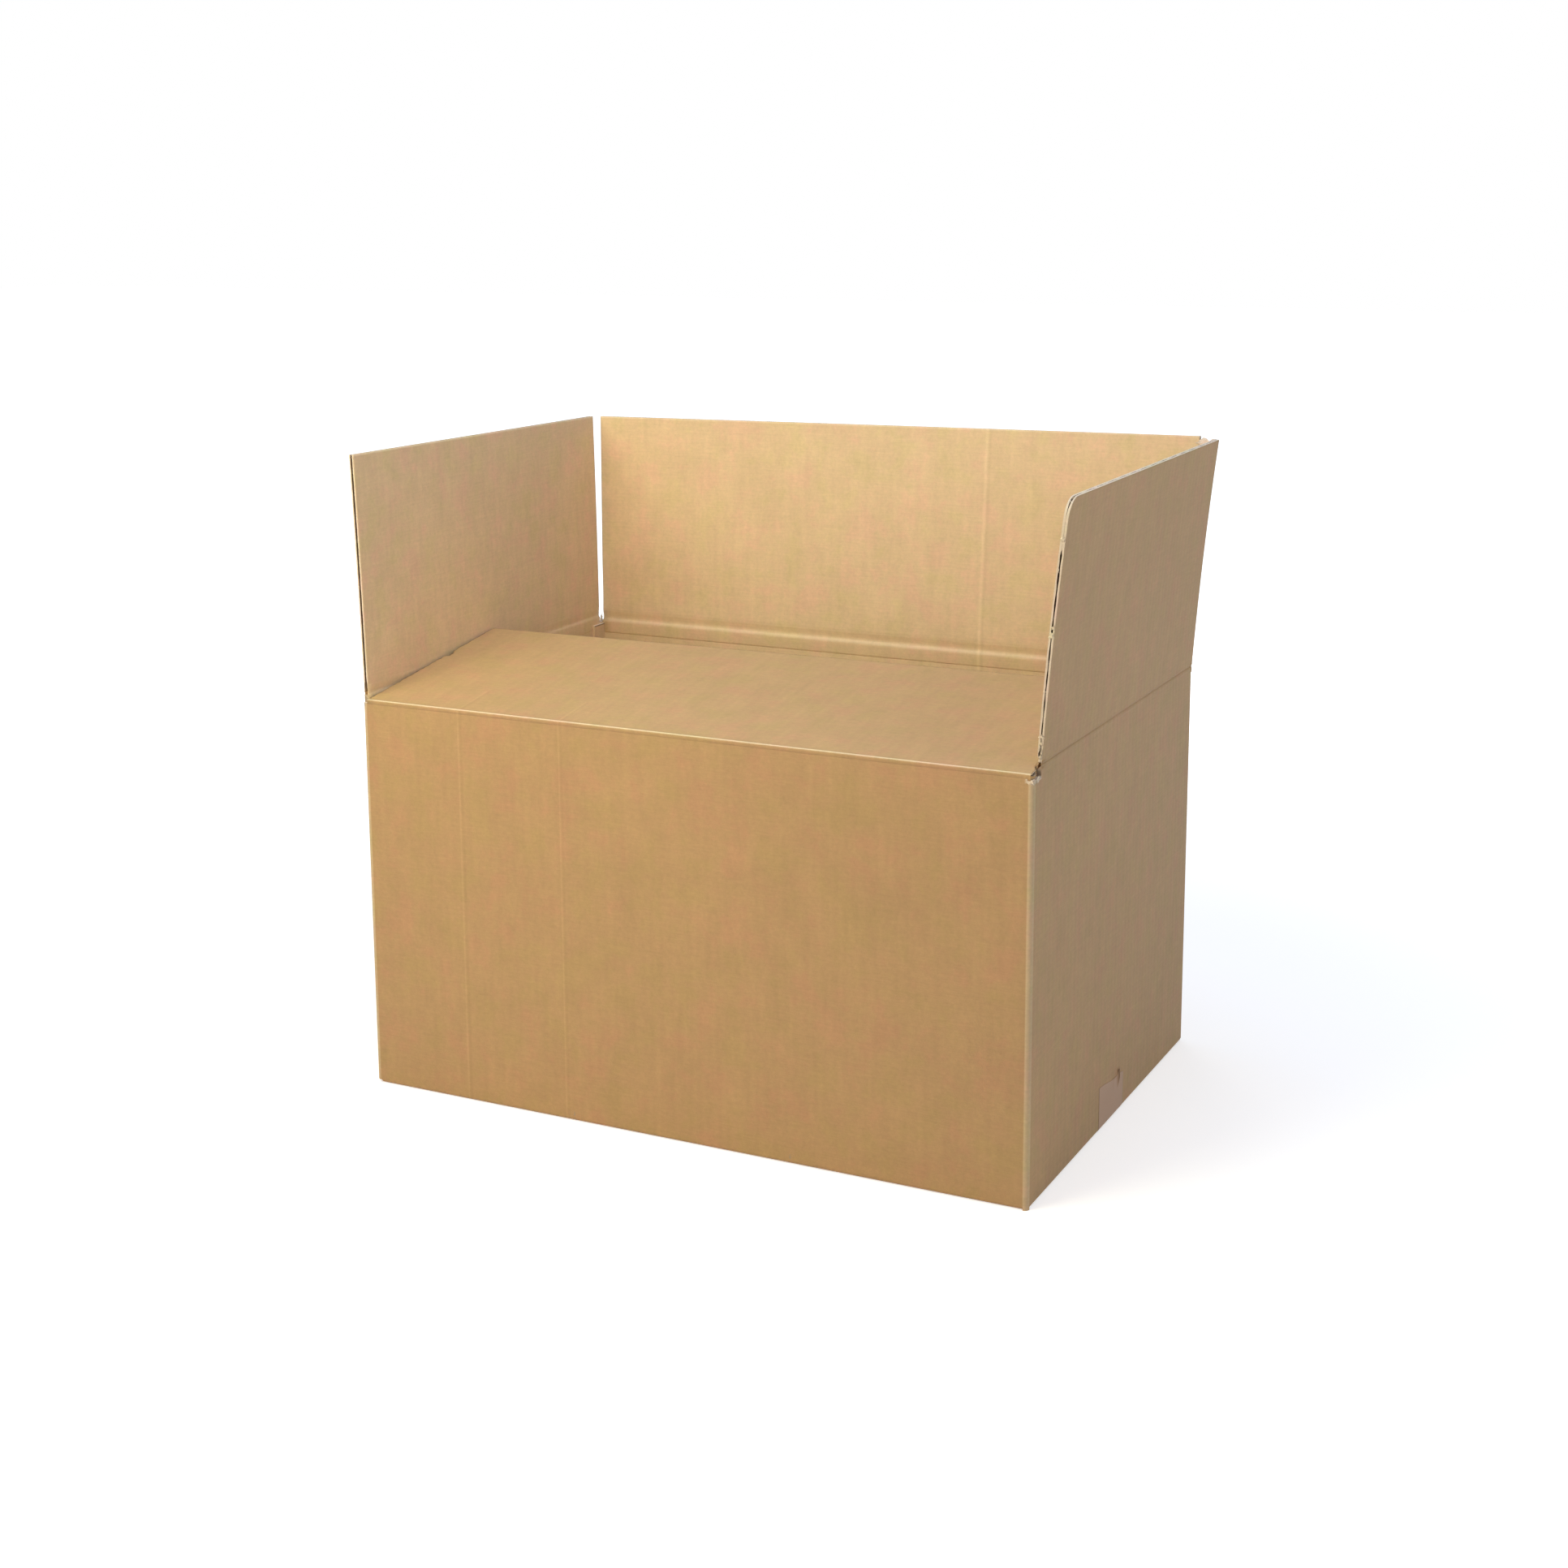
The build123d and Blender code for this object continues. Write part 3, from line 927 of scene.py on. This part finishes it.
# Foot, directions out and across, then length, width, curl and seed
scraps("slot_shreds", "body", [
    ((0.2302, -0.15560, 0.2590), (0.2, -0.03, 1.0), (1.0, 0.0, -0.3), 2.2, 2.6, 0.1, 1.0),
    ((0.2310, -0.1545, 0.2596), (0.3, -0.2, 1.0), (0.7, 0.7, 0.0), 2.0, 2.6, 0.1, 2.0),
    ((0.2316, -0.1500, 0.2588), (0.1, 0.15, 1.0), (0.0, 1.0, 0.1), 3.4, 4.0, -0.3, 3.0),
    ((0.2315, -0.1458, 0.2592), (0.1, 0.1, 1.0), (0.0, 1.0, 0.0), 2.2, 3.0, -0.3, 4.4),
    ((-0.2299, 0.1536, 0.2606), (-0.05, 0.05, 1.0), (1.0, -0.2, 0.0), 6.6, 2.8, 0.3, 5.0),
    ((-0.2305, 0.1506, 0.2608), (-0.1, 0.0, 1.0), (0.3, 1.0, 0.0), 5.2, 3.6, 0.3, 7.2),
    ((0.2297, 0.1540, 0.2610), (0.1, 0.1, 1.0), (1.0, 0.1, 0.0), 2.8, 2.4, 0.3, 8.1),
])
scraps("right_corner_shreds", "right", [
    (corner_point(0.5, 151.5, 2.2), (-1.0, 0.15, 0.06), (0.0, 0.1, 1.0), 13.0, 6.6, 0.6, 1.9),
    (corner_point(3.0, 150.0, 2.4), (-1.0, 0.10, 0.20), (0.0, 0.1, 1.0), 6.0, 5.0, 0.5, 3.9),
])
scraps("back_corner_shreds", "back", [
    ((-0.2272, 0.1558, 0.2657), (-0.15, 0.0, 1.0), (1.0, 0.1, 0.0), 3.6, 2.4, -0.3, 6.3),
    ((-0.2278, 0.1562, 0.2664), (-0.3, 0.0, 1.0), (1.0, 0.3, 0.0), 3.0, 1.8, 0.3, 8.8),
])


# Camera, at the photograph's place, with the shift of its off-centre crop

IMAGE_PX = 1932
FOCAL_PX = 2959.35
CENTRE_PX = (879.5, 766.82)
CAMERA_PLACE = (0.68103, -1.40704, 0.61007)
CAMERA_TURN = (27.55, -10.98, -0.63)
SENSOR = 36.0


def photo_camera():
    yaw, pitch, roll = (math.radians(angle) for angle in CAMERA_TURN)
    ahead = Vector((-math.sin(yaw) * math.cos(pitch), math.cos(yaw) * math.cos(pitch), math.sin(pitch)))
    level = Vector((math.cos(yaw), math.sin(yaw), 0))
    upright = level.cross(ahead)
    right = math.cos(roll) * level + math.sin(roll) * upright
    up = -math.sin(roll) * level + math.cos(roll) * upright
    data = bpy.data.cameras.new("photo_camera")
    data.sensor_width = SENSOR
    data.lens = FOCAL_PX / IMAGE_PX * SENSOR
    data.shift_x = (IMAGE_PX / 2 - CENTRE_PX[0]) / IMAGE_PX
    data.shift_y = (CENTRE_PX[1] - IMAGE_PX / 2) / IMAGE_PX
    data.dof.use_dof = False
    data.clip_end = 50
    camera = bpy.data.objects.new("photo_camera", data)
    basis = Matrix((right, up, -ahead)).transposed().to_4x4()
    camera.matrix_world = Matrix.Translation(CAMERA_PLACE) @ basis
    bpy.context.scene.collection.objects.link(camera)
    bpy.context.scene.camera = camera


photo_camera()


# Floor, light and background

def floor():
    """A pale floor that keeps the shadow and turns to the background's white farther out."""
    size = 8.0
    near, far = 0.40, 1.1
    near_glow, far_glow = 0.55, 1.0
    mesh = bpy.data.meshes.new("floor")
    corners = [(-size, -size, 0), (size, -size, 0), (size, size, 0), (-size, size, 0)]
    mesh.from_pydata(corners, [], [(0, 1, 2, 3)])
    obj = bpy.data.objects.new("floor", mesh)
    bpy.context.scene.collection.objects.link(obj)
    mat = material("floor_white")
    n = Nodes(mat)
    diffuse = n.add("ShaderNodeBsdfDiffuse")
    diffuse.inputs["Color"].default_value = (0.80, 0.74, 0.66, 1)
    reach = n.add("ShaderNodeVectorMath", operation="LENGTH")
    n.put(reach.inputs[0], n.add("ShaderNodeTexCoord").outputs["Object"])
    white = n.scaled(n.band(reach.outputs["Value"], near, far), far_glow - near_glow, near_glow)
    glow = n.add("ShaderNodeEmission")
    n.put(glow.inputs["Strength"], n.both(n.seen(), white))
    both = n.join("ShaderNodeAddShader", (diffuse.outputs[0], glow.outputs[0]))
    out = n.add("ShaderNodeOutputMaterial")
    n.put(out.inputs["Surface"], both)
    mesh.materials.append(mat)


def world():
    """Soft cool light all round, seen as plain white."""
    studio = bpy.data.worlds.new("studio")
    studio.use_nodes = True
    studio.node_tree.nodes.clear()
    bpy.context.scene.world = studio
    n = Nodes(studio)
    background = n.add("ShaderNodeBackground")
    n.put(background.inputs["Color"], n.mix(n.seen(), (0.32, 0.375, 0.49, 1), (1, 1, 1, 1)))
    background.inputs["Strength"].default_value = 1.0
    out = n.add("ShaderNodeOutputWorld")
    n.put(out.inputs["Surface"], background.outputs[0])


def area_light(name, place, power, colour, target=(-0.05, 0, 0.25), size=0.60):
    data = bpy.data.lights.new(name, "AREA")
    data.shape = "DISK"
    data.size = size
    data.energy = power
    data.color = colour
    obj = bpy.data.objects.new(name, data)
    obj.location = place
    aim = Vector(target) - Vector(place)
    obj.rotation_euler = aim.to_track_quat("-Z", "Y").to_euler()
    bpy.context.scene.collection.objects.link(obj)


floor()
world()
area_light("key", (-0.25, -0.60, 0.80), 5.7, (1.0, 1.02, 0.79))
area_light("front_fill", (-0.10, -1.30, 0.50), 1.3, (1.0, 0.30, 0.10))
area_light("right_fill", (0.90, -0.10, 0.80), 1.5, (0.88, 0.97, 1.0))
area_light("back_fill", (-0.70, 1.35, 0.40), 4.0, (1.0, 0.94, 0.86), target=(0, 0, 0.15), size=0.80)
area_light("overhead", (0.05, 0.08, 1.40), 4.3, (0.38, 0.58, 1.0))
bpy.context.scene.view_settings.view_transform = "Standard"
